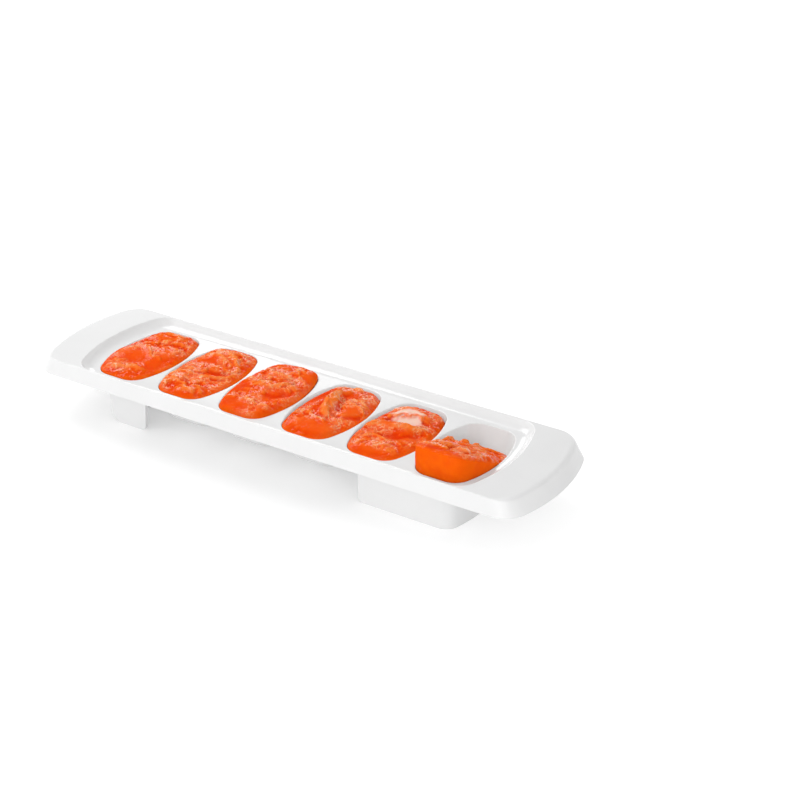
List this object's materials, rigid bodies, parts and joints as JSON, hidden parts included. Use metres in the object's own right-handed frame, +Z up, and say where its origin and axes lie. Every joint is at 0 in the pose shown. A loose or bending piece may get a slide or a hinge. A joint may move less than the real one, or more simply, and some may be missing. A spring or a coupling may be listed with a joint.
{
  "type": "baby food freezer tray",
  "caption": "White moulded freezer tray with a flared skirt and a sunken deck; each rounded well holds a frozen portion of puree that rocks up when one end is pressed.",
  "frame": {"origin": "on the table, under the middle of the tray", "axes": "+X along the tray towards its long foot, +Y away from the side whose portion end is raised, +Z up"},
  "size_m": [0.2894, 0.075, 0.0396],
  "materials": {
    "tray_plastic": "smooth glossy white polypropylene moulding",
    "frozen_puree": "wet, lumpy orange carrot puree, frozen"
  },
  "bodies": {
    "tray": {"tray": "tray_plastic"},
    "portion_1": {"puree_portion_1": "frozen_puree"},
    "portion_2": {"puree_portion_2": "frozen_puree"},
    "portion_3": {"puree_portion_3": "frozen_puree"},
    "portion_4": {"puree_portion_4": "frozen_puree"},
    "portion_5": {"puree_portion_5": "frozen_puree"},
    "portion_6": {"puree_portion_6": "frozen_puree"}
  },
  "joints": [
    {"name": "portion_1_rock", "type": "hinge", "parent": "tray", "child": "portion_1", "pos_m": [-0.09375, 0, 0.0308], "axis": [-1, 0, 0], "range_deg": [-60, 60]},
    {"name": "portion_2_rock", "type": "hinge", "parent": "tray", "child": "portion_2", "pos_m": [-0.05625, 0, 0.0308], "axis": [-1, 0, 0], "range_deg": [-60, 60]},
    {"name": "portion_3_rock", "type": "hinge", "parent": "tray", "child": "portion_3", "pos_m": [-0.01875, 0, 0.0308], "axis": [-1, 0, 0], "range_deg": [-60, 60]},
    {"name": "portion_4_rock", "type": "hinge", "parent": "tray", "child": "portion_4", "pos_m": [0.01875, 0, 0.0308], "axis": [-1, 0, 0], "range_deg": [-60, 60]},
    {"name": "portion_5_rock", "type": "hinge", "parent": "tray", "child": "portion_5", "pos_m": [0.05625, 0, 0.0308], "axis": [-1, 0, 0], "range_deg": [-60, 60]},
    {"name": "portion_6_rock", "type": "hinge", "parent": "tray", "child": "portion_6", "pos_m": [0.09375, 0, 0.0308], "axis": [-1, 0, 0], "range_deg": [-86, 34]}
  ]
}
